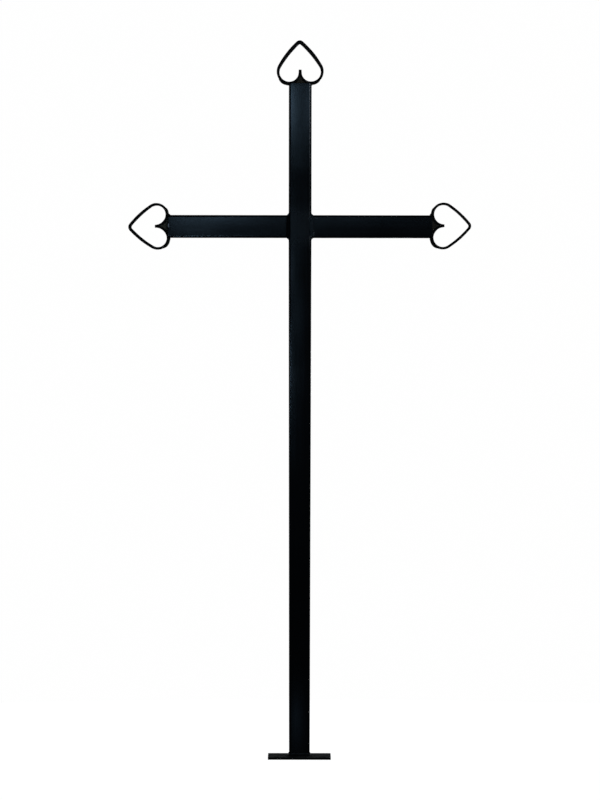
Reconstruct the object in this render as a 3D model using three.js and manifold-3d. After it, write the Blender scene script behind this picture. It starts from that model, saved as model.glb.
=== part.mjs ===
// A cross welded from square steel tube, with a heart bent from flat bar on each of its three free ends
// and a plate under its foot. Millimetres. +Z is up and the front faces -Y. The origin is the centre of
// the foot plate's underside.
import * as THREE from "three";
import { mergeVertices } from "three/addons/utils/BufferGeometryUtils.js";
import Module from "manifold-3d";

const wasm = await Module();
wasm.setup();

// Clearance between two pieces that touch
const GAP = 0.3;

// Square tube of the upright and the arms
const TUBE = 40;
const TUBE_WALL = 2;
const TUBE_CORNER = 4;

// The upright narrows evenly from just under the arms down to its foot
const FOOT_TUBE = 36.2;
const NARROWS_FROM = 905;

// Layout: height of the upright's end, height of the arms and their reach from the upright's centre line
const UPRIGHT_TOP = 1180.6;
const ARM_HEIGHT = 931.6;
const ARM_REACH = 229;

// Square caps that close the tube ends
const CAP_THICKNESS = 3;

// Foot plate, with a bolt hole in from each corner
const FOOT_SIDE = 110;
const FOOT_THICKNESS = 4;
const FOOT_CORNER = 2;
const BOLT_HOLE = 11;
const BOLT_INSET = 15;
const FOOT_WELD_LEG = 7.5;

// Welds between the arms and the upright: the tube's end is bevelled and the weld fills the bevel
const ARM_WELD_LEG = 4.5;
const BEVEL_LENGTH = 4;
const BEVEL_DEPTH = 1.4;
const WELD_ROOT = 8;
const VALLEY_WIDTH = 7;
const VALLEY_DEPTH = 1.5;

// Flat bar of the hearts: it is thinned round the lobes, and its ends are drawn down to a point
const BAR_THICKNESS = 3.8;
const BAR_DEPTH = 30;
const BAR_TIP = 2.1;
const BAR_TAPER = 17;
const THICKENS_FROM = 45;
const THICKENS_TO = 100;
const SIDE_BOW = 170;
const CUSP_LEAVES_AT = THREE.MathUtils.degToRad(24);
const CUSP_TIP_PULL = 10;
const CUSP_LOBE_PULL = 8;
const SEAM_WIDTH = 0.1;

// Weld that holds a heart: it fills the wedge under the point, runs out under each lobe, and covers the
// bar's edges at the front and back of the cap
const WEDGE_RECESS = 2;
const WEDGE_HEIGHT = 20;
const SEAT_STEPS = 9;
const LEDGE_HEIGHT = 2.4;

// Steps along the curves
const CORNER_STEPS = 2;
const HOLE_STEPS = 12;
const TROUGH_STEPS = 36;
const CUSP_STEPS = 8;
const LOBE_STEPS = 24;
const SIDE_STEPS = 7;
const APEX_STEPS = 5;
const FILLET_TANGENTS = [20, 45, 70];

// Black paint, smooth on the tubes and rougher over hammered bar and welds
const PAINT_COLOUR = 0x101418;
const PAINT_METALNESS = 0.1;
const TUBE_ROUGHNESS = 0.38;
const HEART_ROUGHNESS = 0.45;
const WELD_ROUGHNESS = 0.5;

// Each heart is bent by hand, so each has its own sizes: sideways from the tube's centre line, then
// outward from the end cap. The lobe and apex sizes are those of the bar's centre line. A seat weld
// reaches so many degrees round its lobe from the tube.
const HEARTS = {
  top: {
    lobes: [new THREE.Vector2(-19.3, 22), new THREE.Vector2(18.9, 22.4)],
    lobeRadius: 19.8,
    apex: new THREE.Vector2(-0.9, 68.6),
    apexRadius: 5.4,
    apexThickness: 5.9,
    cusp: new THREE.Vector2(-0.2, 25.8),
    seatWelds: [{ size: 1.7, reach: 68 }, { size: 1.2, reach: 52 }],
  },
  left: {
    lobes: [new THREE.Vector2(-20.4, 20.5), new THREE.Vector2(20.6, 22.5)],
    lobeRadius: 18.3,
    apex: new THREE.Vector2(-1.1, 62.2),
    apexRadius: 7.2,
    apexThickness: 4.8,
    cusp: new THREE.Vector2(0.3, 25.5),
    seatWelds: [{ size: 1.6, reach: 72 }, { size: 1, reach: 45 }],
  },
  right: {
    lobes: [new THREE.Vector2(-21.6, 22.3), new THREE.Vector2(18.8, 21.1)],
    lobeRadius: 18.9,
    apex: new THREE.Vector2(-1.4, 61.6),
    apexRadius: 7,
    apexThickness: 4.1,
    cusp: new THREE.Vector2(-1.8, 24),
    seatWelds: [{ size: 0.8, reach: 45 }, { size: 1.9, reach: 76 }],
  },
};

// A closed geometry as a solid that can be joined and cut
function solid(geometry) {
  const bare = geometry.clone();
  bare.deleteAttribute("normal");
  bare.deleteAttribute("uv");
  const merged = mergeVertices(bare, 1e-4);
  return new wasm.Manifold(
    new wasm.Mesh({
      numProp: 3,
      vertProperties: merged.attributes.position.array,
      triVerts: new Uint32Array(merged.index.array),
    }),
  );
}

// A named mesh of painted steel, from a solid
function painted(name, made, roughness) {
  const { numProp, vertProperties, triVerts } = made.getMesh();
  const geometry = new THREE.BufferGeometry();
  const positions = new THREE.BufferAttribute(new Float32Array(vertProperties), numProp);
  geometry.setAttribute("position", positions);
  geometry.setIndex(new THREE.BufferAttribute(new Uint32Array(triVerts), 1));
  geometry.computeVertexNormals();
  const paint = new THREE.MeshStandardMaterial({
    color: PAINT_COLOUR,
    roughness,
    metalness: PAINT_METALNESS,
  });
  const mesh = new THREE.Mesh(geometry, paint);
  mesh.name = name;
  return mesh;
}

// A square with rounded corners
function square(side, corner) {
  const reach = side / 2 - corner;
  const shape = new THREE.Shape();
  for (let quarter = 0; quarter < 4; quarter++) {
    const start = (quarter * Math.PI) / 2;
    const x = reach * Math.sign(Math.cos(start + Math.PI / 4));
    const y = reach * Math.sign(Math.sin(start + Math.PI / 4));
    shape.absarc(x, y, corner, start, start + Math.PI / 2);
  }
  shape.closePath();
  return shape;
}

// An outline drawn out along Z, and narrowed to a share of itself at its lower end
function prism(outline, from, to, lowerShare = 1) {
  const options = { depth: to - from, bevelEnabled: false, curveSegments: CORNER_STEPS };
  const geometry = new THREE.ExtrudeGeometry(outline, options);
  const points = geometry.attributes.position;
  for (let index = 0; index < points.count; index++) {
    const share = points.getZ(index) === 0 ? lowerShare : 1;
    points.setXY(index, share * points.getX(index), share * points.getY(index));
  }
  return solid(geometry.translate(0, 0, from));
}

// An outline in the XZ plane, given thickness evenly to both sides of it
function slab(outline, depth) {
  const options = { depth, bevelEnabled: false, curveSegments: CUSP_STEPS };
  const geometry = new THREE.ExtrudeGeometry(outline, options);
  return solid(geometry.translate(0, 0, -depth / 2).rotateX(Math.PI / 2));
}

// A tube's outside as one full bar, larger by a margin all round
function tubeBar(from, to, margin = 0) {
  return prism(square(TUBE + 2 * margin, TUBE_CORNER + margin), from, to);
}

function tubeBore(from, to) {
  return prism(square(TUBE - 2 * TUBE_WALL, TUBE_CORNER - TUBE_WALL), from, to);
}

// The upright's outside below the arms, which stands on the foot plate
function lowerBar(margin = 0) {
  const outline = square(TUBE + 2 * margin, TUBE_CORNER + margin);
  return prism(outline, FOOT_THICKNESS + GAP, NARROWS_FROM, FOOT_TUBE / TUBE);
}

function lowerBore() {
  const inside = TUBE - 2 * TUBE_WALL;
  const share = (FOOT_TUBE - 2 * TUBE_WALL) / inside;
  return prism(square(inside, TUBE_CORNER - TUBE_WALL), 0, NARROWS_FROM, share);
}

// The outside of an arm's tube, bevelled at its inner end for the weld
function bevelledBar(from, to, margin = 0) {
  const outline = square(TUBE - 2 * BEVEL_DEPTH + 2 * margin, TUBE_CORNER - BEVEL_DEPTH + margin);
  const options = {
    depth: to - from,
    bevelSize: BEVEL_DEPTH,
    bevelThickness: BEVEL_LENGTH,
    bevelSegments: 1,
    curveSegments: CORNER_STEPS,
  };
  const bar = solid(new THREE.ExtrudeGeometry(outline, options).translate(0, 0, from + BEVEL_LENGTH));
  return bar.intersect(tubeBar(from, to, margin));
}

// A hollow-faced fillet weld round a tube, standing on the plane z = 0. It is as high as its leg, and
// each ring of it follows one tangent of a quarter circle.
function filletWeld(leg, side = TUBE) {
  const rings = FILLET_TANGENTS.map((degrees) => {
    const turn = THREE.MathUtils.degToRad(degrees);
    const options = {
      depth: WELD_ROOT,
      bevelSize: leg * (1 - (1 - Math.cos(turn)) / Math.sin(turn)),
      bevelThickness: leg * (1 - (1 - Math.sin(turn)) / Math.cos(turn)),
      bevelSegments: 1,
      curveSegments: CORNER_STEPS,
    };
    const outline = square(side, TUBE_CORNER);
    return solid(new THREE.ExtrudeGeometry(outline, options).translate(0, 0, -WELD_ROOT));
  });
  return wasm.Manifold.union(rings);
}

// The weld between an arm and the upright, in the arm's frame, where +Z runs out along the arm. It is
// flush with the tubes at the front and back, or left as a shallow valley there.
function armWeld(hasValley) {
  const half = TUBE / 2;
  const upright = solid(
    new THREE.ExtrudeGeometry(square(TUBE + 2 * GAP, TUBE_CORNER + GAP), {
      depth: 2 * TUBE,
      bevelEnabled: false,
      curveSegments: CORNER_STEPS,
    })
      .translate(0, 0, -TUBE)
      .rotateY(Math.PI / 2),
  );
  const flush = solid(new THREE.BoxGeometry(2 * TUBE, TUBE, 4 * TUBE));
  let weld = filletWeld(ARM_WELD_LEG).translate(0, 0, half).intersect(flush);
  weld = weld.subtract(upright).subtract(bevelledBar(half, 2 * TUBE, GAP));
  if (hasValley) {
    const radius = (VALLEY_WIDTH ** 2 / 4 + VALLEY_DEPTH ** 2) / (2 * VALLEY_DEPTH);
    for (const side of [-1, 1]) {
      const trough = new THREE.CylinderGeometry(radius, radius, 2 * TUBE, TROUGH_STEPS);
      trough.rotateZ(Math.PI / 2);
      trough.translate(0, side * (half + radius - VALLEY_DEPTH), half + GAP);
      weld = weld.subtract(solid(trough));
    }
  }
  return weld;
}

// The point where two circles meet, to the left of the way from the first centre to the second
function circlesMeet(first, firstRadius, second, secondRadius) {
  const way = second.clone().sub(first);
  const apart = way.length();
  const along = (firstRadius ** 2 - secondRadius ** 2 + apart ** 2) / (2 * apart);
  const aside = Math.sqrt(firstRadius ** 2 - along ** 2);
  way.divideScalar(apart);
  return new THREE.Vector2(
    first.x + along * way.x - aside * way.y,
    first.y + along * way.y + aside * way.x,
  );
}

// The centre line of one half of a heart as four curves: from the cusp down to the lobe, round the lobe,
// up the bowed side and over to the apex. The half lies towards +X; the other is drawn mirrored.
function halfHeartCurves(heart, side) {
  const across = (point) => new THREE.Vector2(side * point.x, point.y);
  const lobe = across(heart.lobes[side < 0 ? 0 : 1]);
  const apex = across(heart.apex);
  const { lobeRadius, apexRadius } = heart;
  const tip = across(heart.cusp).add(new THREE.Vector2(BAR_TIP / 2, 0));

  const bow = circlesMeet(lobe, SIDE_BOW - lobeRadius, apex, SIDE_BOW - apexRadius);
  const angleTo = (from, to) => Math.atan2(to.y - from.y, to.x - from.x);
  const sideStart = angleTo(bow, lobe);
  const sideEnd = angleTo(bow, apex);

  const leave = -Math.PI / 2 - CUSP_LEAVES_AT;
  const foot = new THREE.Vector2(Math.cos(leave), Math.sin(leave)).multiplyScalar(lobeRadius).add(lobe);
  const heading = new THREE.Vector2(-Math.sin(leave), Math.cos(leave)).multiplyScalar(CUSP_LOBE_PULL);
  const down = new THREE.Vector2(0, -CUSP_TIP_PULL);

  return [
    [new THREE.CubicBezierCurve(tip, tip.clone().add(down), foot.clone().sub(heading), foot), CUSP_STEPS],
    [new THREE.ArcCurve(lobe.x, lobe.y, lobeRadius, leave, sideStart), LOBE_STEPS],
    [new THREE.ArcCurve(bow.x, bow.y, SIDE_BOW, sideStart, sideEnd), SIDE_STEPS],
    [new THREE.ArcCurve(apex.x, apex.y, apexRadius, sideEnd, Math.PI / 2), APEX_STEPS],
  ];
}

// The bar's thickness at a length along it from the cusp
function barThickness(heart, length) {
  const drawn = Math.min(1, length / BAR_TAPER);
  const thickening = THREE.MathUtils.smoothstep(length, THICKENS_FROM, THICKENS_TO);
  const tapered = THREE.MathUtils.lerp(BAR_TIP, BAR_THICKNESS, drawn);
  return THREE.MathUtils.lerp(tapered, heart.apexThickness, thickening);
}

// Points on both faces of half a heart's bar. A margin moves both faces away from its centre line. The
// outer face starts where it leaves the seam, along which the two ends of the bar are joined.
function halfHeartFaces(heart, side, margin) {
  const outer = [];
  const inner = [];
  const seam = side * heart.cusp.x;
  let travelled = 0;
  let last = null;
  for (const [curve, steps] of halfHeartCurves(heart, side)) {
    for (let step = last ? 1 : 0; step <= steps; step++) {
      const point = curve.getPoint(step / steps);
      const way = curve.getTangent(step / steps);
      travelled += last ? point.distanceTo(last) : 0;
      last = point;
      const half = barThickness(heart, travelled) / 2 + margin;
      const outward = new THREE.Vector2(way.y, -way.x).multiplyScalar(half);
      outer.push(point.clone().add(outward));
      inner.push(point.clone().sub(outward));
    }
  }
  const leaves = outer.findIndex((point) => point.x > seam + SEAM_WIDTH);
  const notch = new THREE.Vector2(seam, outer[leaves - 1].y);
  const back = (point) => new THREE.Vector2(side * point.x, point.y);
  return { outer: [notch, ...outer.slice(leaves)].map(back), inner: inner.map(back) };
}

// The outer or the inner face of a whole heart as one closed line, anticlockwise from the cusp
function heartFace(heart, face, margin = 0) {
  const [right, left] = [1, -1].map((side) => halfHeartFaces(heart, side, margin)[face]);
  return [...right, ...left.reverse().slice(1)];
}

// A heart bent from one flat bar, standing on the end cap at z = 0
function heartBar(heart) {
  const outline = new THREE.Shape(heartFace(heart, "outer"));
  outline.holes.push(new THREE.Path(heartFace(heart, "inner")));
  return slab(outline, BAR_DEPTH);
}

// Everything inside a heart's outer face, with the clearance round it
function heartSpace(heart) {
  return slab(new THREE.Shape(heartFace(heart, "outer", GAP)), BAR_DEPTH + 2 * GAP);
}

// The outline of the weld under one lobe: it runs on round the bar and thins out along it
function seatOutline(heart, side) {
  const half = TUBE / 2;
  const inner = half - TUBE_CORNER;
  const lobe = heart.lobes[side < 0 ? 0 : 1];
  const { size, reach } = heart.seatWelds[side < 0 ? 0 : 1];
  const shape = new THREE.Shape();
  shape.moveTo(side * inner, -CAP_THICKNESS);
  shape.lineTo(side * half, -CAP_THICKNESS);
  for (let step = 1; step <= SEAT_STEPS; step++) {
    const angle = (reach * step) / SEAT_STEPS;
    const left = 1 - THREE.MathUtils.smoothstep(angle, reach / 2, reach);
    const radius = heart.lobeRadius + BAR_THICKNESS / 2 + GAP / 2 + size * left;
    const turn = THREE.MathUtils.degToRad(angle);
    shape.lineTo(lobe.x + side * radius * Math.sin(turn), lobe.y - radius * Math.cos(turn));
  }
  shape.lineTo(lobe.x, lobe.y);
  shape.lineTo(side * inner, lobe.y);
  shape.closePath();
  return shape;
}

// The end cap, with the weld that holds the heart built up on it
function endCap(heart) {
  const [first, second] = heart.lobes;
  const wedge = new THREE.Shape([
    new THREE.Vector2(first.x, -CAP_THICKNESS / 2),
    new THREE.Vector2(second.x, -CAP_THICKNESS / 2),
    new THREE.Vector2(second.x, WEDGE_HEIGHT),
    new THREE.Vector2(first.x, WEDGE_HEIGHT),
  ]);
  const weld = [
    slab(wedge, BAR_DEPTH - 2 * WEDGE_RECESS),
    slab(seatOutline(heart, -1), BAR_DEPTH),
    slab(seatOutline(heart, 1), BAR_DEPTH),
  ];
  const between = new THREE.BoxGeometry(2 * TUBE, BAR_DEPTH, 2 * LEDGE_HEIGHT);
  between.translate(0, 0, LEDGE_HEIGHT);
  const cap = tubeBar(-CAP_THICKNESS, LEDGE_HEIGHT).subtract(solid(between));
  return wasm.Manifold.union([cap, ...weld]).subtract(heartSpace(heart));
}

// The upright, with its own heart on top
function upright() {
  const group = new THREE.Group();
  const outside = tubeBar(NARROWS_FROM, UPRIGHT_TOP - CAP_THICKNESS - GAP).add(lowerBar());
  const inside = tubeBore(NARROWS_FROM, UPRIGHT_TOP).add(lowerBore());
  group.add(painted("upright_tube", outside.subtract(inside), TUBE_ROUGHNESS));
  const end = new THREE.Group();
  end.position.z = UPRIGHT_TOP;
  end.add(painted("top_end_cap", endCap(HEARTS.top), WELD_ROUGHNESS));
  end.add(painted("top_heart", heartBar(HEARTS.top), HEART_ROUGHNESS));
  group.add(end);
  return group;
}

// One arm, turned to its side of the upright: side is -1 for the left arm and 1 for the right
function arm(name, side, hasValley) {
  const group = new THREE.Group();
  group.position.z = ARM_HEIGHT;
  group.rotation.y = (side * Math.PI) / 2;
  const from = TUBE / 2 + GAP;
  const to = ARM_REACH - CAP_THICKNESS - GAP;
  const tube = bevelledBar(from, to).subtract(tubeBore(0, ARM_REACH));
  group.add(painted(`${name}_arm_tube`, tube, TUBE_ROUGHNESS));
  group.add(painted(`${name}_arm_weld`, armWeld(hasValley), WELD_ROUGHNESS));
  const end = new THREE.Group();
  end.position.z = ARM_REACH;
  end.add(painted(`${name}_end_cap`, endCap(HEARTS[name]), WELD_ROUGHNESS));
  end.add(painted(`${name}_heart`, heartBar(HEARTS[name]), HEART_ROUGHNESS));
  group.add(end);
  return group;
}

// The foot plate and the weld that runs round the upright on it
function foot() {
  const group = new THREE.Group();
  const outline = square(FOOT_SIDE, FOOT_CORNER);
  const inset = FOOT_SIDE / 2 - BOLT_INSET;
  for (const x of [-inset, inset]) {
    for (const y of [-inset, inset]) {
      outline.holes.push(new THREE.Path().absarc(x, y, BOLT_HOLE / 2, 0, 2 * Math.PI));
    }
  }
  const plate = new THREE.ExtrudeGeometry(outline, {
    depth: FOOT_THICKNESS,
    bevelEnabled: false,
    curveSegments: HOLE_STEPS,
  });
  group.add(painted("foot_plate", solid(plate), TUBE_ROUGHNESS));
  const under = new THREE.BoxGeometry(4 * TUBE, 4 * TUBE, 2 * TUBE);
  const onPlate = FOOT_THICKNESS + GAP;
  under.translate(0, 0, onPlate - TUBE);
  const weld = filletWeld(FOOT_WELD_LEG, FOOT_TUBE).translate(0, 0, onPlate);
  const bead = weld.subtract(solid(under)).subtract(lowerBar(GAP));
  group.add(painted("foot_weld", bead, WELD_ROUGHNESS));
  return group;
}

const cross = new THREE.Group();
cross.add(upright(), arm("left", -1, true), arm("right", 1, false), foot());

export default cross;
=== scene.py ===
from math import atan2, cos, pi, radians, sin, sqrt

import bmesh
import bpy
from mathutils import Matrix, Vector


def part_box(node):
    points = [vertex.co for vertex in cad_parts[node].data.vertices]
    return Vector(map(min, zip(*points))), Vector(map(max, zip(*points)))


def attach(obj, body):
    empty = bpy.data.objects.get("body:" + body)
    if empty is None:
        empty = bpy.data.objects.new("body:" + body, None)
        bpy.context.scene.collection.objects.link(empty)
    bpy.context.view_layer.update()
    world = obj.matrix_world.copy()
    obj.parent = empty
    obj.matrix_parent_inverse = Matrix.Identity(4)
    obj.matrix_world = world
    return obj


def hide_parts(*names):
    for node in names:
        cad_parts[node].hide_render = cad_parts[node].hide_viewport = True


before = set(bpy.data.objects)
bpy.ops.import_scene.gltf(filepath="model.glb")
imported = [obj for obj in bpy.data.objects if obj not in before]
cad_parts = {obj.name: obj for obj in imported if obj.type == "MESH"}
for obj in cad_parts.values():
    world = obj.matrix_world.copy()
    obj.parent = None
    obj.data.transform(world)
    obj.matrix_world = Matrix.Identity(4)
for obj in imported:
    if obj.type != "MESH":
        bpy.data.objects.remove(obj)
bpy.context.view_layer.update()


# The foot plate is cut from 4 mm sheet, its corners just broken with a file, and has an 11 mm hole
# near each corner for the anchors that hold the cross down. It was painted with the rest of the
# cross and has caught the most dust and scuffs, because it lies flat.

PLATE_SIDE = 0.110
PLATE_THICKNESS = 0.004
PLATE_CORNER = 0.002
PLATE_EDGE = 0.0004
HOLE_WIDTH = 0.011
HOLE_FROM_CENTRE = 0.040

PAINT_BLACK = (0.0010, 0.0018, 0.0028)
PAINT_WORN = (0.0040, 0.0058, 0.0078)
DUST_GREY = (0.060, 0.058, 0.052)
# A pale grey for painted highlights, small glints laid into the colour
PAINTED_GLINT_GREY = (0.55, 0.58, 0.60)
PLATE_GLOSS = 0.42
PLATE_DUST = 0.5

# The enamel's noises, in grains to the metre
PATCH_GRAIN = 9
BRUSH_GRAIN = 260
SPECK_GRAIN = 900
DUST_GRAIN = 60
PEEL_GRAIN = 420
DENT_GRAIN = 95

# How much rougher they make the enamel, and how far its specks of dust show
PATCH_ROUGHER = 0.05
BRUSH_ROUGHER = 0.08
DUST_ROUGHER = 0.4
MEAN_ROUGHER = 0.06
SPECKS_SHOWN = 0.02


class Paint:
    """A socket of a paint's node tree, so that sums of sockets read as sums."""

    def __init__(self, tree, socket):
        self.tree = tree
        self.socket = socket

    def node(self, kind, settings=None, **sockets):
        """Adds a node with its settings, then its sockets by name, as From_Min, or number, as _0."""
        made = self.tree.nodes.new(kind)
        for name, value in (settings or {}).items():
            setattr(made, name, value)
        for name, value in sockets.items():
            key = int(name[1:]) if name[0] == "_" else name.replace("_", " ")
            if isinstance(value, Paint):
                self.tree.links.new(value.socket, made.inputs[key])
            else:
                made.inputs[key].default_value = value
        return made

    def out(self, kind, output, settings=None, **sockets):
        """Adds a node in the same way, and gives one of its outputs."""
        return Paint(self.tree, self.node(kind, settings, **sockets).outputs[output])

    def math(self, operation, other=0.0):
        return self.out("ShaderNodeMath", 0, {"operation": operation}, _0=self, _1=other)

    def __add__(self, other):
        return self.math("ADD", other)

    def __mul__(self, other):
        return self.math("MULTIPLY", other)

    def __sub__(self, other):
        return self.math("SUBTRACT", other)

    def __rsub__(self, other):
        return self.out("ShaderNodeMath", 0, {"operation": "SUBTRACT"}, _0=other, _1=self)

    def between(self, low, high):
        """0 below low, 1 above high, and smooth between them."""
        settings = {"interpolation_type": "SMOOTHSTEP"}
        return self.out("ShaderNodeMapRange", 0, settings, Value=self, From_Min=low, From_Max=high)

    def axes(self):
        """The x, y and z of this vector."""
        return [self.out("ShaderNodeSeparateXYZ", axis, Vector=self) for axis in range(3)]

    def noise(self, grain, detail, stretch=(1, 1, 1)):
        """Noise with this many grains to the metre, on coordinates stretched along an axis."""
        way = self.out("ShaderNodeMapping", 0, Vector=self, Scale=stretch)
        return way.out("ShaderNodeTexNoise", 0, Vector=way, Scale=grain, Detail=detail)

    def mix(self, first, second):
        """The second colour where this mask is 1, and the first where it is 0."""
        colours = [c if isinstance(c, Paint) else (*c, 1) for c in (first, second)]
        settings = {"data_type": "RGBA"}
        return self.out("ShaderNodeMix", 2, settings, _0=self, _6=colours[0], _7=colours[1])


def new_paint(name, gloss, tint):
    """An enamel's node tree with its shader, and its object coordinates as a socket."""
    material = bpy.data.materials.new(name)
    material.use_nodes = True
    tree = material.node_tree
    shader = tree.nodes["Principled BSDF"]
    shader.inputs["Metallic"].default_value = 0.0
    shader.inputs["IOR"].default_value = 1.5
    shader.inputs["Roughness"].default_value = gloss
    shader.inputs["Specular Tint"].default_value = (*tint, 1)
    coordinates = tree.nodes.new("ShaderNodeTexCoord")
    return material, shader, Paint(tree, coordinates.outputs["Object"])


def lay_on(shader, colour, roughness, height):
    """Sends colour, roughness and a height in metres to the shader."""
    bump = height.node("ShaderNodeBump", Strength=1.0, Distance=1.0, Height=height)
    links = height.tree.links
    links.new(colour.socket, shader.inputs["Base Color"])
    links.new(roughness.socket, shader.inputs["Roughness"])
    links.new(bump.outputs[0], shader.inputs["Normal"])


def enamel(
    name,
    gloss,
    along=(1, 1, 1),
    shades=(PAINT_BLACK, PAINT_WORN),
    tint=(1, 1, 1),
    waves=0.0002,
    peel=0.000005,
    dust=0.35,
    beaten=0.0,
    form=None,
    ground=None,
    painted_glint=None,
):
    """Black enamel: patches, brush marks along the piece, orange peel, gentle waves and dust."""
    material, shader, place = new_paint(name, gloss, tint)
    patches = place.noise(PATCH_GRAIN, 4).between(0.35, 0.75)
    brushed = place.noise(BRUSH_GRAIN, 2, stretch=along)
    specks = place.noise(SPECK_GRAIN, 1).between(0.72, 0.8)
    up = place.out("ShaderNodeNewGeometry", "Normal").axes()[2].between(0.55, 0.95)
    dusty = up * place.noise(DUST_GRAIN, 4).between(0.35, 0.7) * dust
    black = (patches * brushed).mix(*shades)
    colour = (dusty + specks * SPECKS_SHOWN).mix(black, DUST_GREY)
    # Where a glint mask is given, the colour turns pale there: a painted highlight.
    if painted_glint:
        colour = painted_glint(place).mix(colour, PAINTED_GLINT_GREY)
    rougher = patches * PATCH_ROUGHER + brushed * BRUSH_ROUGHER + dusty * DUST_ROUGHER
    roughness = rougher + (gloss - MEAN_ROUGHER)
    orange_peel = place.noise(PEEL_GRAIN, 2) * peel + brushed * (peel / 2)
    height = place.noise(PATCH_GRAIN, 1) * waves + orange_peel
    if form:
        height = height + form(place)
    if ground:
        roughness = roughness + ground(place)
    if beaten:
        cells = {"Vector": place, "Scale": DENT_GRAIN, "Smoothness": 0.6}
        dents = place.out("ShaderNodeTexVoronoi", 0, {"feature": "SMOOTH_F1"}, **cells)
        height = height + dents * beaten
    lay_on(shader, colour, roughness, height)
    return material


def pick(kind, wanted):
    """Selects the mesh's vertices, edges or faces that are wanted, and nothing else."""
    modes = {"verts": "VERT", "edges": "EDGE", "faces": "FACE"}
    bpy.ops.mesh.select_mode(type=modes[kind])
    bpy.ops.mesh.select_all(action="DESELECT")
    mesh = bmesh.from_edit_mesh(bpy.context.object.data)
    for part in getattr(mesh, kind):
        part.select_set(wanted(part))
    mesh.select_flush_mode()
    bmesh.update_edit_mesh(bpy.context.object.data)


def block(size, middle):
    """A box of this size, taken into edit mode."""
    bpy.ops.object.select_all(action="DESELECT")
    bpy.ops.mesh.primitive_cube_add(size=1, location=middle, scale=size)
    bpy.ops.object.transform_apply(location=True, rotation=True, scale=True)
    piece = bpy.context.object
    bpy.ops.object.mode_set(mode="EDIT")
    return piece


def choose(piece):
    """Selects this piece alone, and makes it the active one."""
    bpy.ops.object.select_all(action="DESELECT")
    piece.select_set(True)
    bpy.context.view_layer.objects.active = piece


def change(piece, kind, **settings):
    """Adds a modifier with its settings and applies it."""
    modifier = piece.modifiers.new(kind.title(), kind)
    for name, value in settings.items():
        setattr(modifier, name, value)
    choose(piece)
    bpy.ops.object.modifier_apply(modifier=modifier.name)


def smooth(piece, degrees=40):
    """Shades smooth, with flat faces kept flat up to their rounded edges."""
    choose(piece)
    bpy.ops.object.shade_smooth_by_angle(angle=radians(degrees))
    change(piece, "WEIGHTED_NORMAL", keep_sharp=True)


def hand_over(piece, name, material, node):
    """Names a finished piece, paints it and sets it in the frame."""
    piece.name = name
    piece.data.name = name
    piece.data.materials.clear()
    piece.data.materials.append(material)
    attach(piece, "root")
    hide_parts(node)


plate = block((PLATE_SIDE, PLATE_SIDE, PLATE_THICKNESS), (0, 0, PLATE_THICKNESS / 2))
pick("edges", lambda e: abs(e.verts[0].co.z - e.verts[1].co.z) > PLATE_THICKNESS / 2)
bpy.ops.mesh.bevel(offset=PLATE_CORNER, segments=4, affect="EDGES")
bpy.ops.object.mode_set(mode="OBJECT")
for side in (-1, 1):
    for end in (-1, 1):
        middle = (side * HOLE_FROM_CENTRE, end * HOLE_FROM_CENTRE, 0)
        bpy.ops.object.select_all(action="DESELECT")
        bpy.ops.mesh.primitive_cylinder_add(
            vertices=40, radius=HOLE_WIDTH / 2, depth=4 * PLATE_THICKNESS, location=middle
        )
        drill = bpy.context.object
        change(plate, "BOOLEAN", operation="DIFFERENCE", solver="EXACT", object=drill)
        bpy.data.objects.remove(drill)
change(plate, "BEVEL", width=PLATE_EDGE, segments=2, limit_method="ANGLE", angle_limit=radians(40))
smooth(plate)
plate_paint = enamel("plate_enamel", PLATE_GLOSS, dust=PLATE_DUST)
hand_over(plate, "base_plate", plate_paint, "foot_plate")


# The upright is one length of 40 mm square tube with a 2 mm wall and rolled corners. Below the arms it
# narrows evenly to 36 mm at the foot. It stands on the plate and is painted semi-gloss black. Its faces
# are a little round, and the heat of the arms' welds has pulled them in above the arms.

TUBE_SIDE = 0.040
TUBE_WALL = 0.002
TUBE_CORNER = 0.004
FOOT_TUBE = 0.0362
NARROWS_FROM = 0.905
WELD_GAP = 0.0003
UPRIGHT_GLOSS = 0.205
ARM_HEIGHT = 0.9316
BRUSHED_UPRIGHT = (1, 1, 0.03)
UPRIGHT_CROWN = 0.039

# Heights between which the front stands further out, falls back and stands out again
PULLED = ((0.600, 0.890), (0.890, 0.960), (0.965, 1.040))
PULLED_DEPTH = 0.0014

# Distances above and below the arms' axis between which the ground surface runs out
GROUND = (0.014, 0.046)
GROUND_ROUGHER = 0.08


def tube_skin(low, high, axis):
    """The outside of a square tube between two corners of its box, still in edit mode."""
    size = [b - a for a, b in zip(low, high)]
    tube = block(size, [(a + b) / 2 for a, b in zip(low, high)])
    pick("faces", lambda f: abs(f.normal[axis]) > 0.5)
    bpy.ops.mesh.delete(type="FACE")
    pick("edges", lambda e: abs((e.verts[0].co - e.verts[1].co)[axis]) > TUBE_SIDE)
    bpy.ops.mesh.bevel(offset=TUBE_CORNER, segments=8, affect="EDGES")
    return tube


def give_wall(tube):
    """Gives the skin its wall, inwards."""
    bpy.ops.object.mode_set(mode="OBJECT")
    change(tube, "SOLIDIFY", thickness=TUBE_WALL, offset=-1, use_even_offset=True)


low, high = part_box("upright_tube")
high.z += WELD_GAP
upright = tube_skin(low, high, 2)
pick("faces", lambda f: True)
bpy.ops.mesh.bisect(plane_co=(0, 0, NARROWS_FROM), plane_no=(0, 0, 1))
pick("verts", lambda v: v.co.z < NARROWS_FROM / 2)
drawn = FOOT_TUBE / TUBE_SIDE
bpy.ops.transform.resize(value=(drawn, drawn, 1), center_override=(0, 0, low.z))
give_wall(upright)
smooth(upright)


def crowned(place, across, middle, crown, lean=(0, 0)):
    """How far a tube's faces stand out: they are a little round across, and lean a little."""
    x, y, z = place.axes()
    aside = (x, y, z)[across] - middle
    round_face = (aside * aside + y * y) * (-crown / TUBE_SIDE)
    return round_face - x * lean[0] - (z - ARM_HEIGHT) * lean[1]


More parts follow.
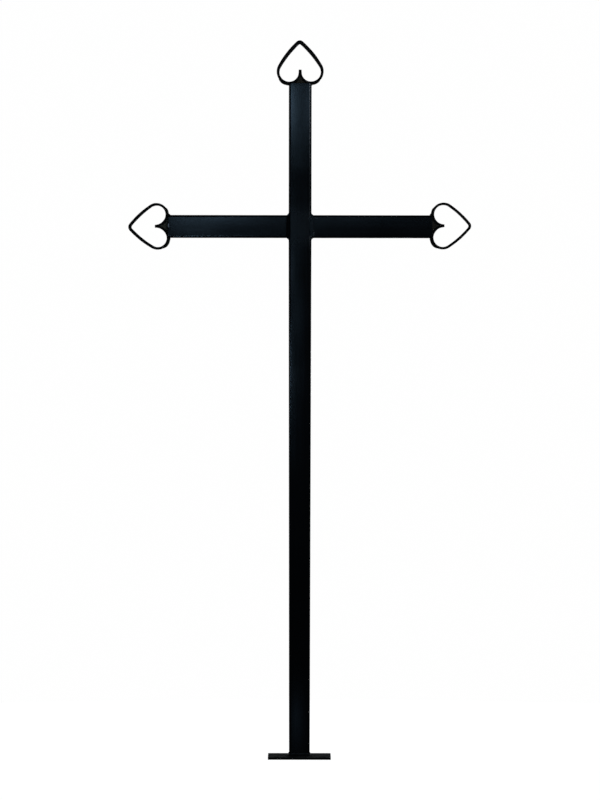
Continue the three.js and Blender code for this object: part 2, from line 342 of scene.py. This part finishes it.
def upright_form(place):
    """The crowned faces, which the heat of the arms' welds has pulled in just above the arms."""
    height = place.axes()[2]
    rise, fall, second_rise = (height.between(*heights) for heights in PULLED)
    return crowned(place, 0, 0, UPRIGHT_CROWN) + (rise - fall + second_rise) * PULLED_DEPTH


def upright_ground(place):
    """Rougher paint where the weld was ground beside the arms."""
    from_arms = (place.axes()[2] - ARM_HEIGHT).math("ABSOLUTE")
    return (1 - from_arms.between(*GROUND)) * GROUND_ROUGHER


upright_paint = enamel(
    "upright_enamel", UPRIGHT_GLOSS, BRUSHED_UPRIGHT, form=upright_form, ground=upright_ground
)
hand_over(upright, "upright_post", upright_paint, "upright_tube")


# A fillet weld runs once round the upright's foot. It was laid in short overlapping ripples and painted
# over as it was.

WELD_GLOSS = 0.46
RIPPLE_LENGTH = 0.0024
RIPPLE_HEIGHT = 0.00022
BAND_PERIOD = 2 * pi / 10
LUMP_SIZE = 0.004
DENT_DEPTH = 0.0001
SAME_POINT = 1e-5


def weld_metal(node, grain, lumps, cuts=()):
    """A weld from the frame's own solid: cut, its skin made fine, softened, rippled and uneven."""
    weld = bpy.data.objects.new("weld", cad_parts[node].data.copy())
    bpy.context.scene.collection.objects.link(weld)
    choose(weld)
    bpy.ops.object.mode_set(mode="EDIT")
    bpy.ops.mesh.select_all(action="SELECT")
    bpy.ops.mesh.remove_doubles(threshold=SAME_POINT)
    for place, away in cuts:
        bpy.ops.mesh.select_all(action="SELECT")
        bpy.ops.mesh.bisect(plane_co=place, plane_no=away, use_fill=True, clear_outer=True)
    bpy.ops.object.mode_set(mode="OBJECT")
    change(weld, "REMESH", mode="VOXEL", voxel_size=grain)
    change(weld, "SMOOTH", factor=0.5, iterations=4)
    ruler = bpy.data.objects.new("ruler", None)
    ruler.scale = [RIPPLE_LENGTH / BAND_PERIOD] * 3
    bpy.context.scene.collection.objects.link(ruler)
    bpy.context.view_layer.update()
    ripples = bpy.data.textures.new("weld_ripples", "WOOD")
    ripples.wood_type = "BANDS"
    ripples.noise_basis_2 = "SAW"
    followed = {"texture_coords": "OBJECT", "texture_coords_object": ruler}
    change(weld, "DISPLACE", texture=ripples, strength=RIPPLE_HEIGHT, mid_level=0.5, **followed)
    bpy.data.objects.remove(ruler)
    uneven = bpy.data.textures.new("weld_lumps", "CLOUDS")
    uneven.noise_scale = LUMP_SIZE
    change(weld, "DISPLACE", texture=uneven, strength=lumps, mid_level=0.5)
    bpy.ops.object.shade_smooth()
    return weld


weld_paint = enamel("weld_enamel", WELD_GLOSS, waves=0.0, peel=0.00003, dust=0.25, beaten=DENT_DEPTH)
foot_bead = weld_metal("foot_weld", grain=0.0005, lumps=0.0005)
hand_over(foot_bead, "foot_bead", weld_paint, "foot_weld")


# The arms are two shorter lengths of the same tube, butted square against the upright. The left one's
# inner end was ground to a bevel of 4 mm before it was welded on, and it still shows. The enamel has
# pooled there. A small pale spot on this arm's free end is a painted highlight, a glint.

BEVEL_LENGTH = 0.004
BEVEL_DEPTH = 0.0026
BRUSHED_ARM = (0.03, 1, 1)
ARM_GLOSS = 0.20
ARM_CROWN = 0.030
ARM_LEANS = {"left": (0.0209, 0.0300), "right": (-0.0220, 0.0185)}

# The x between which the pooled enamel begins, and the x and z of the painted glint with its soft edges
POOLED = (-0.0252, -0.0238)
POOLED_GLOSSIER = 0.11
GLINT_SPOT = (-0.2303, 0.9334)
GLINT_SPOT_WIDTH = (0.0007, 0.0014)
GLINT_SPOT_HEIGHT = (0.0022, 0.0042)


def arm_form(name):
    """The crowned and leaning faces of one arm."""
    return lambda place: crowned(place, 2, ARM_HEIGHT, ARM_CROWN, ARM_LEANS[name])


def painted_glint_spot(place):
    """A painted highlight, a pale glint on the front of the left arm's free end, between the heart's
    lobes.
    """
    x, y, z = place.axes()
    across = 1 - (x - GLINT_SPOT[0]).math("ABSOLUTE").between(*GLINT_SPOT_WIDTH)
    upward = 1 - (z - GLINT_SPOT[1]).math("ABSOLUTE").between(*GLINT_SPOT_HEIGHT)
    return across * upward * (0 - y).between(0, TUBE_SIDE / 4)


def pooled(place):
    """The enamel has pooled, and so is glossier, in the bevel beside the upright."""
    return place.axes()[0].between(*POOLED) * -POOLED_GLOSSIER


tube_paints = {"top": upright_paint}
for name, side in (("left", -1), ("right", 1)):
    low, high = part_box(f"{name}_arm_tube")
    low.x -= WELD_GAP
    high.x += WELD_GAP
    inner_end = min(abs(low.x), abs(high.x))
    axis_height = (low.z + high.z) / 2
    arm = tube_skin(low, high, 0)
    if side < 0:
        pick("faces", lambda f: True)
        bpy.ops.mesh.bisect(plane_co=(-inner_end - BEVEL_LENGTH, 0, 0), plane_no=(1, 0, 0))
        pick("verts", lambda v: abs(v.co.x + inner_end) < BEVEL_LENGTH / 2)
        narrowed = 1 - 2 * BEVEL_DEPTH / TUBE_SIDE
        middle = (-inner_end, 0, axis_height)
        bpy.ops.transform.resize(value=(1, narrowed, narrowed), center_override=middle)
    give_wall(arm)
    smooth(arm, degrees=12)
    # The left arm's paint carries a small painted highlight, a glint, on its free end.
    special = {"painted_glint": painted_glint_spot, "ground": pooled} if side < 0 else {}
    arm_paint = enamel(f"{name}_arm_enamel", ARM_GLOSS, BRUSHED_ARM, form=arm_form(name), **special)
    hand_over(arm, f"{name}_arm", arm_paint, f"{name}_arm_tube")
    tube_paints[name] = arm_paint


# A weld runs round each arm where it meets the upright. The left one is a valley on the front and back.
# The right one was ground almost flush and smoothed over before painting, but a few short ridges of it
# still stand near its upper and lower corners.

VALLEY_SWELL = 0.0003
VALLEY_NARROWED = 0.93
VALLEY_GLOSS = 0.12
# The valley's paint is darker than the arms', as painted shade in the recess, and its blue tint colours
# the lamps' reflections there as a painted reflection.
VALLEY_PAINTED_SHADE = ((0.0002, 0.0004, 0.0008), (0.0008, 0.0014, 0.0024))
VALLEY_BLUE_REFLECTION_TINT = (0.30, 0.60, 1.0)
FLUSH_SWELL = 0.0001

# The dressed weld metal at the right joint lies between these two x
FILLED = (0.0156, 0.0212)
FILL_HEIGHT = 0.033
FILL_DEEP = 0.0035
FILL_PROUD = 0.00003

# x, z, length and turn of each standing ridge
STANDING = (
    (0.0168, 0.9480, 0.0056, radians(-55)),
    (0.0186, 0.9456, 0.0036, radians(-50)),
    (0.0274, 0.9467, 0.0066, radians(6)),
    (0.0238, 0.9182, 0.0092, radians(-84)),
    (0.0186, 0.9145, 0.0034, radians(-40)),
)
STANDING_HEIGHT = 0.0007
STANDING_WIDTH = 0.0030

# Distances from the middle plane between which the ridges' tops get painted highlights, pale glints
GLINTS_FROM = (0.0202, 0.0206)
GLINT_SHARE = 0.13


def join_to(piece):
    """Joins the object that was just made to this piece."""
    piece.select_set(True)
    bpy.context.view_layer.objects.active = piece
    bpy.ops.object.join()


def painted_ridge_glints(place):
    """The tops of the standing ridges, made paler as painted highlights, glints."""
    return place.axes()[1].math("ABSOLUTE").between(*GLINTS_FROM) * GLINT_SHARE


valley_bead = weld_metal("left_arm_weld", grain=0.0004, lumps=0.0003)
change(valley_bead, "DISPLACE", strength=VALLEY_SWELL, mid_level=0)
choose(valley_bead)
bpy.ops.transform.resize(value=(1, VALLEY_NARROWED, 1), center_override=(0, 0, 0))
bpy.ops.object.transform_apply(location=True, rotation=True, scale=True)
# The valley's paint: dark painted shade, with a blue painted reflection tint.
valley_paint = enamel(
    "valley_enamel", VALLEY_GLOSS, shades=VALLEY_PAINTED_SHADE, tint=VALLEY_BLUE_REFLECTION_TINT, waves=0.0, peel=0.00001
)
hand_over(valley_bead, "left_arm_bead", valley_paint, "left_arm_weld")

flush_bead = weld_metal("right_arm_weld", grain=0.0004, lumps=0.00015)
change(flush_bead, "DISPLACE", strength=FLUSH_SWELL, mid_level=0)
for face in (-1, 1):
    size = (FILLED[1] - FILLED[0], FILL_DEEP, FILL_HEIGHT)
    inner = TUBE_SIDE / 2 + FILL_PROUD - FILL_DEEP / 2
    block(size, (sum(FILLED) / 2, face * inner, ARM_HEIGHT))
    bpy.ops.object.mode_set(mode="OBJECT")
    join_to(flush_bead)
for x, z, length, turn in STANDING:
    for face in (-1, 1):
        bpy.ops.object.select_all(action="DESELECT")
        bpy.ops.mesh.primitive_ico_sphere_add(subdivisions=4, radius=1, location=(0, 0, 0))
        lump = bpy.context.object
        lump.scale = (length / 2, STANDING_HEIGHT, STANDING_WIDTH / 2)
        lump.rotation_euler = (0, turn, 0)
        lump.location = (x, face * TUBE_SIDE / 2, z)
        bpy.ops.object.transform_apply(location=True, rotation=True, scale=True)
        bpy.ops.object.shade_smooth()
        join_to(flush_bead)
right_form = arm_form("right")
# The flush weld's paint has painted highlights, pale glints, on the ridges' tops.
flush_paint = enamel("flush_enamel", ARM_GLOSS, BRUSHED_ARM, form=right_form, painted_glint=painted_ridge_glints)
hand_over(flush_bead, "right_arm_bead", flush_paint, "right_arm_weld")


# Each free tube end is closed by a square cap, ground flush with the tube all round and painted with
# it. Its front and back edges stand up as two low ledges, between which the heart's bar is let in.

CAP_THICKNESS = 0.003
LEDGE_HEIGHT = 0.0024
LEDGE_EDGE = 0.0006
BAR_DEPTH = 0.030

arm_low, arm_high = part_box("left_arm_tube")
arm_axis = (arm_low.z + arm_high.z) / 2
top_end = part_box("top_end_cap")[0].z + CAP_THICKNESS
arm_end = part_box("right_end_cap")[0].x + CAP_THICKNESS
ENDS = {
    "top": ((0, 0, top_end), 0),
    "left": ((-arm_end, 0, arm_axis), -pi / 2),
    "right": ((arm_end, 0, arm_axis), pi / 2),
}


def set_on_end(piece, name):
    """Turns a piece made on a tube end at the origin, and moves it to this free end."""
    place, turn = ENDS[name]
    choose(piece)
    piece.location = place
    piece.rotation_euler = (0, turn, 0)
    bpy.ops.object.transform_apply(location=True, rotation=True, scale=True)


for name in ENDS:
    tall = CAP_THICKNESS + LEDGE_HEIGHT
    cap = block((TUBE_SIDE, TUBE_SIDE, tall), (0, 0, LEDGE_HEIGHT - tall / 2))
    pick("edges", lambda e: abs(e.verts[0].co.z - e.verts[1].co.z) > tall / 2)
    bpy.ops.mesh.bevel(offset=TUBE_CORNER, segments=8, affect="EDGES")
    bpy.ops.object.mode_set(mode="OBJECT")
    trench_width = BAR_DEPTH + 2 * WELD_GAP
    trench = block((2 * TUBE_SIDE, trench_width, LEDGE_HEIGHT * 2), (0, 0, LEDGE_HEIGHT))
    bpy.ops.object.mode_set(mode="OBJECT")
    change(cap, "BOOLEAN", operation="DIFFERENCE", solver="EXACT", object=trench)
    bpy.data.objects.remove(trench)
    bpy.ops.object.mode_set(mode="EDIT")
    pick("edges", lambda e: min(v.co.z for v in e.verts) > LEDGE_HEIGHT * 0.9)
    bpy.ops.mesh.bevel(offset=LEDGE_EDGE, segments=3, affect="EDGES")
    bpy.ops.object.mode_set(mode="OBJECT")
    smooth(cap, degrees=35)
    set_on_end(cap, name)
    hand_over(cap, f"{name}_cap", tube_paints[name], f"{name}_end_cap")


# Weld metal holds each heart on its cap. It fills the wedge under the heart's point, a little below the
# bar's edges, and runs out thinly under each lobe. It was left rough.

SEAT_RECESS = 0.0003
# The seats' pale olive tones are partly the weld's own colour and partly painted reflected light. Each
# seat's tones are then scaled as painted light and shade: the left lighter, the top and right darker.
SEAT_SHADES = ((0.056, 0.050, 0.032), (0.160, 0.140, 0.094))
SEAT_PAINTED_LIGHT_AND_SHADE = {"top": 0.75, "left": 1.6, "right": 0.3}
RUST_TINT = (1.0, 0.80, 0.62)

for name, (place, turn) in ENDS.items():
    # Scales each seat's tones by side, as painted light and shade.
    shades = [[channel * SEAT_PAINTED_LIGHT_AND_SHADE[name] for channel in shade] for shade in SEAT_SHADES]
    rough = {"waves": 0.0, "peel": 0.00002, "beaten": DENT_DEPTH}
    seat_paint = enamel(f"{name}_seat_enamel", WELD_GLOSS, shades=shades, tint=RUST_TINT, **rough)
    outward = Vector((sin(turn), 0, cos(turn)))
    edge = BAR_DEPTH / 2 - SEAT_RECESS
    cuts = [
        (Vector(place) - outward * CAP_THICKNESS / 2, -outward),
        ((0, edge, 0), (0, 1, 0)),
        ((0, -edge, 0), (0, -1, 0)),
    ]
    seat = weld_metal(f"{name}_end_cap", grain=0.0005, lumps=0.0005, cuts=cuts)
    hand_over(seat, f"{name}_seat", seat_paint, f"{name}_end_cap")


# A heart is bent cold from one length of flat bar, about 4 by 30 mm, with both ends drawn down and
# brought together as the point. The bar was hammered round a former, so each heart is a little
# different, thicker towards its apex, and its faces and edges are slightly uneven.

HEARTS = {
    "top": {
        "lobes": ((-0.0193, 0.0220), (0.0189, 0.0224)),
        "lobe_radius": 0.0198,
        "apex": (-0.0009, 0.0686),
        "apex_radius": 0.0054,
        "apex_thickness": 0.0059,
        "cusp": (-0.0002, 0.0258),
    },
    "left": {
        "lobes": ((-0.0204, 0.0205), (0.0206, 0.0225)),
        "lobe_radius": 0.0183,
        "apex": (-0.0011, 0.0622),
        "apex_radius": 0.0072,
        "apex_thickness": 0.0048,
        "cusp": (0.0003, 0.0255),
    },
    "right": {
        "lobes": ((-0.0216, 0.0223), (0.0188, 0.0211)),
        "lobe_radius": 0.0189,
        "apex": (-0.0014, 0.0616),
        "apex_radius": 0.0070,
        "apex_thickness": 0.0041,
        "cusp": (-0.0018, 0.0240),
    },
}
BAR_THICKNESS = 0.0038
BAR_TIP = 0.0021
BAR_TAPER = 0.017
BAR_EDGE = 0.0013
BAR_PAINT = 0.00045
PAINT_INWARD = 0.1
THICKENS = (0.045, 0.100)  # lengths along half the bar
SIDE_BOW = 0.170
CUSP_LEAVES_AT = radians(24)
HAMMER_MARK = 0.014
HAMMER_DEPTH = 0.0003
HEART_GLOSS = 0.40
HEART_BLACK = ((0.003, 0.0026, 0.0022), (0.010, 0.009, 0.007))
HEART_TINT = (0.50, 0.42, 0.36)


def circles_meet(first, first_radius, second, second_radius):
    """Where two circles meet, to the left of the way from the first centre to the second."""
    way = second - first
    along = (first_radius**2 - second_radius**2 + way.length**2) / (2 * way.length)
    aside = sqrt(first_radius**2 - along**2)
    way.normalize()
    return first + along * way + aside * Vector((-way.y, way.x))


def arc(middle, radius, start, end, steps):
    """The points of an arc after its first, in even steps."""
    turns = [start + (end - start) * step / steps for step in range(1, steps + 1)]
    return [middle + radius * Vector((cos(turn), sin(turn))) for turn in turns]


def half_heart(heart, side):
    """The bar's middle line from the point round one lobe and up to the apex: straight, then arcs."""
    lobe = Vector(heart["lobes"][side > 0])
    apex = Vector(heart["apex"])
    tip = Vector(heart["cusp"])
    for point in (lobe, apex, tip):
        point.x *= side
    tip.x += BAR_TIP / 2
    radius = heart["lobe_radius"]
    leave = -pi / 2 - CUSP_LEAVES_AT
    foot = lobe + radius * Vector((cos(leave), sin(leave)))
    turned = pi / 2 - CUSP_LEAVES_AT
    cusp_radius = (foot.x - tip.x) / (1 - cos(turned))
    cusp_middle = Vector((tip.x + cusp_radius, foot.y + cusp_radius * sin(turned)))
    bow_radii = SIDE_BOW - radius, SIDE_BOW - heart["apex_radius"]
    bow = circles_meet(lobe, bow_radii[0], apex, bow_radii[1])
    side_start = atan2(lobe.y - bow.y, lobe.x - bow.x)
    side_end = atan2(apex.y - bow.y, apex.x - bow.x)
    points = [tip, cusp_middle - Vector((cusp_radius, 0))]
    points += arc(cusp_middle, cusp_radius, -pi, -pi + turned, 8)
    points += arc(lobe, radius, leave, side_start, 36)
    points += arc(bow, SIDE_BOW, side_start, side_end, 12)
    points += arc(apex, heart["apex_radius"], side_end, pi / 2, 8)
    return [Vector((side * point.x, point.y)) for point in points]


def thicknesses(heart, points):
    """The bar's thickness at each point of half a heart."""
    made = []
    length = 0
    for before, point in zip([points[0]] + points, points):
        length += (point - before).length
        thickness = BAR_TIP + (BAR_THICKNESS - BAR_TIP) * min(1, length / BAR_TAPER)
        share = min(1, max(0, (length - THICKENS[0]) / (THICKENS[1] - THICKENS[0])))
        share = share * share * (3 - 2 * share)
        made.append(thickness + (heart["apex_thickness"] - thickness) * share)
    return made


heart_paint = enamel(
    "heart_enamel", HEART_GLOSS, shades=HEART_BLACK, tint=HEART_TINT, waves=0.0, peel=0.000005
)
for name, heart in HEARTS.items():
    halves = [half_heart(heart, side) for side in (1, -1)]
    path = halves[0] + halves[1][-2::-1]
    sizes = [thicknesses(heart, half) for half in halves]
    sizes = sizes[0] + sizes[1][-2::-1]
    start = path[0] - path[1]
    bpy.ops.object.select_all(action="DESELECT")
    bpy.ops.mesh.primitive_grid_add(
        x_subdivisions=1,
        y_subdivisions=10,
        size=1,
        rotation=(0, pi / 2, 0),
        location=(path[0].x, 0, (path[0].y + path[1].y) / 2),
    )
    bar = bpy.context.object
    bar.scale = (start.length, BAR_DEPTH, 1)
    bpy.ops.object.transform_apply(location=True, rotation=True, scale=True)
    bpy.ops.object.mode_set(mode="EDIT")
    pick("edges", lambda e: all(abs(v.co.z - path[1].y) < SAME_POINT for v in e.verts))
    for before, point in zip(path[1:], path[2:]):
        step = point - before
        bpy.ops.mesh.extrude_region_move(TRANSFORM_OT_translate={"value": (step.x, 0, step.y)})
    bpy.ops.object.mode_set(mode="OBJECT")
    sizes = [size + BAR_PAINT for size in sizes]
    full = max(sizes)
    group = bar.vertex_groups.new(name="thickness")
    for vertex in bar.data.vertices:
        here = Vector((vertex.co.x, vertex.co.z))
        nearest = min(range(len(path)), key=lambda i: (path[i] - here).length)
        group.add([vertex.index], sizes[nearest] / full, "REPLACE")
    change(
        bar,
        "SOLIDIFY",
        thickness=full,
        offset=PAINT_INWARD,
        use_even_offset=True,
        vertex_group="thickness",
        thickness_vertex_group=0,
    )
    rounded = {"limit_method": "ANGLE", "angle_limit": radians(50)}
    change(bar, "BEVEL", width=BAR_EDGE, segments=4, **rounded)
    hammered = bpy.data.textures.new("hammered", "CLOUDS")
    hammered.noise_scale = HAMMER_MARK
    change(bar, "DISPLACE", texture=hammered, strength=HAMMER_DEPTH, mid_level=0.5)
    smooth(bar, degrees=50)
    set_on_end(bar, name)
    hand_over(bar, f"{name}_bent_heart", heart_paint, f"{name}_heart")


# The floor is a plain pale sheet that glows as brightly as the white background, so that neither shows
# an edge. It isn't part of the cross, and neither lights it nor is reflected in it.

FLOOR_RADIUS = 1.6
FLOOR_GREY = (0.5, 0.5, 0.5, 1)
FLOOR_GLOW = 0.985
BACKGROUND_WHITE = (0.996, 0.996, 0.996, 1)
AIR_BLUE = (0.8, 0.95, 1.1, 1)
AIR_GLOW = 0.015

bpy.ops.object.select_all(action="DESELECT")
bpy.ops.mesh.primitive_circle_add(vertices=96, radius=FLOOR_RADIUS, fill_type="NGON")
floor = bpy.context.object
floor.name = "floor"
floor_material = bpy.data.materials.new("floor_white")
floor_material.use_nodes = True
floor_shader = floor_material.node_tree.nodes["Principled BSDF"]
floor_shader.inputs["Base Color"].default_value = FLOOR_GREY
floor_shader.inputs["Roughness"].default_value = 0.9
floor_shader.inputs["Emission Color"].default_value = (1, 1, 1, 1)
floor_shader.inputs["Emission Strength"].default_value = FLOOR_GLOW
floor.data.materials.append(floor_material)
floor.visible_glossy = False
floor.visible_diffuse = False

world = bpy.data.worlds.new("studio")
bpy.context.scene.world = world
world.use_nodes = True
air = world.node_tree
shown = air.nodes.new("ShaderNodeBackground")
shown.inputs["Color"].default_value = BACKGROUND_WHITE
dim = air.nodes["Background"]
dim.inputs["Color"].default_value = AIR_BLUE
dim.inputs["Strength"].default_value = AIR_GLOW
seen = air.nodes.new("ShaderNodeLightPath")
blend = air.nodes.new("ShaderNodeMixShader")
air.links.new(seen.outputs["Is Camera Ray"], blend.inputs[0])
air.links.new(dim.outputs[0], blend.inputs[1])
air.links.new(shown.outputs[0], blend.inputs[2])
air.links.new(blend.outputs[0], air.nodes["World Output"].inputs["Surface"])


# Small cool panels close in front give the faces their patches of sheen, and a lamp high on the right
# draws a line along the right-hand edges. Dimmer panels mirror the front ones at the back, and broad
# lamps there show the sides that the photograph doesn't.

COOL = (0.42, 0.70, 1.0)
FRESH = (0.72, 0.84, 1.0)
PALE = (0.88, 0.95, 1.0)
PANEL_SIZE = (0.06, 0.07)
PANEL_DISTANCE = 0.7
BACK_PANEL_SHARE = 0.5

# x, z and power
PANELS = (
    (-0.17, 0.66, 0.1907),
    (-0.17, 0.96, 0.0099),
    (-0.17, 1.06, 0.0270),
    (-0.09, 0.86, 0.0176),
    (-0.09, 1.16, 0.0627),
    (-0.02, 0.76, 0.0044),
    (0.07, 1.16, 0.0209),
    (-0.02, 0.02, 0.0040),
)

# Name, place, the point it faces, size, power and colour
LAMPS = (
    ("far_panel", (-0.06, -2.4, 1.22), (-0.06, 0, 1.22), (0.10, 0.10), 0.1049, COOL),
    ("edge_light", (0.8, -1.6, 1.26), (0, 0, 1.12), (0.08, 0.14), 2.2, FRESH),
    ("low_back", (0, 2.5, 0.35), (0, 0, 0), (1.6, 0.4), 0.19, PALE),
    ("back_left", (-2.2, 2.0, 0.9), (0, 0, 0.7), (1.2, 1.6), 9.0, PALE),
    ("back_right", (2.2, 2.4, 1.0), (0, 0, 0.7), (1.2, 1.6), 9.0, PALE),
)


def soft_light(name, place, aim, size, power, colour):
    """A rectangular lamp that faces a point and isn't seen itself."""
    data = bpy.data.lights.new(name, "AREA")
    data.shape = "RECTANGLE"
    data.size, data.size_y = size
    data.energy = power
    data.color = colour
    light = bpy.data.objects.new(name, data)
    light.location = place
    way = Vector(aim) - Vector(place)
    light.rotation_euler = way.to_track_quat("-Z", "Y").to_euler()
    light.visible_camera = False
    bpy.context.scene.collection.objects.link(light)


for x, z, power in PANELS:
    front, back = (x, -PANEL_DISTANCE, z), (-x, PANEL_DISTANCE, z)
    soft_light("front_panel", front, (x, 0, z), PANEL_SIZE, power, COOL)
    soft_light("back_panel", back, (-x, 0, z), PANEL_SIZE, power * BACK_PANEL_SHARE, PALE)
for lamp in LAMPS:
    soft_light(*lamp)


# The camera stands 12 m in front, at the height that the view of the plate's top face gives, and leans
# a little, as the cross does in the photograph.

FAR = 12.0
EYE_HEIGHT = 0.86
PIXEL = 0.0017534
MIDDLE_X = 0.0003
LEAN = radians(0.08)
MIDDLE_HEIGHT = 0.6277
SENSOR_WIDTH = 36
PICTURE_HEIGHT = 800

camera = bpy.data.objects.new("camera", bpy.data.cameras.new("camera"))
bpy.context.scene.collection.objects.link(camera)
camera.location = (MIDDLE_X, -FAR, EYE_HEIGHT)
sight = Vector((MIDDLE_X, 0, MIDDLE_HEIGHT)) - camera.location
camera.rotation_euler = sight.to_track_quat("-Z", "Y").to_euler()
camera.rotation_euler.rotate_axis("Z", LEAN)
camera.data.sensor_width = SENSOR_WIDTH
camera.data.lens = SENSOR_WIDTH * sight.length / (PICTURE_HEIGHT * PIXEL)
camera.data.clip_end = 100
bpy.context.scene.camera = camera
bpy.context.scene.view_settings.view_transform = "Standard"
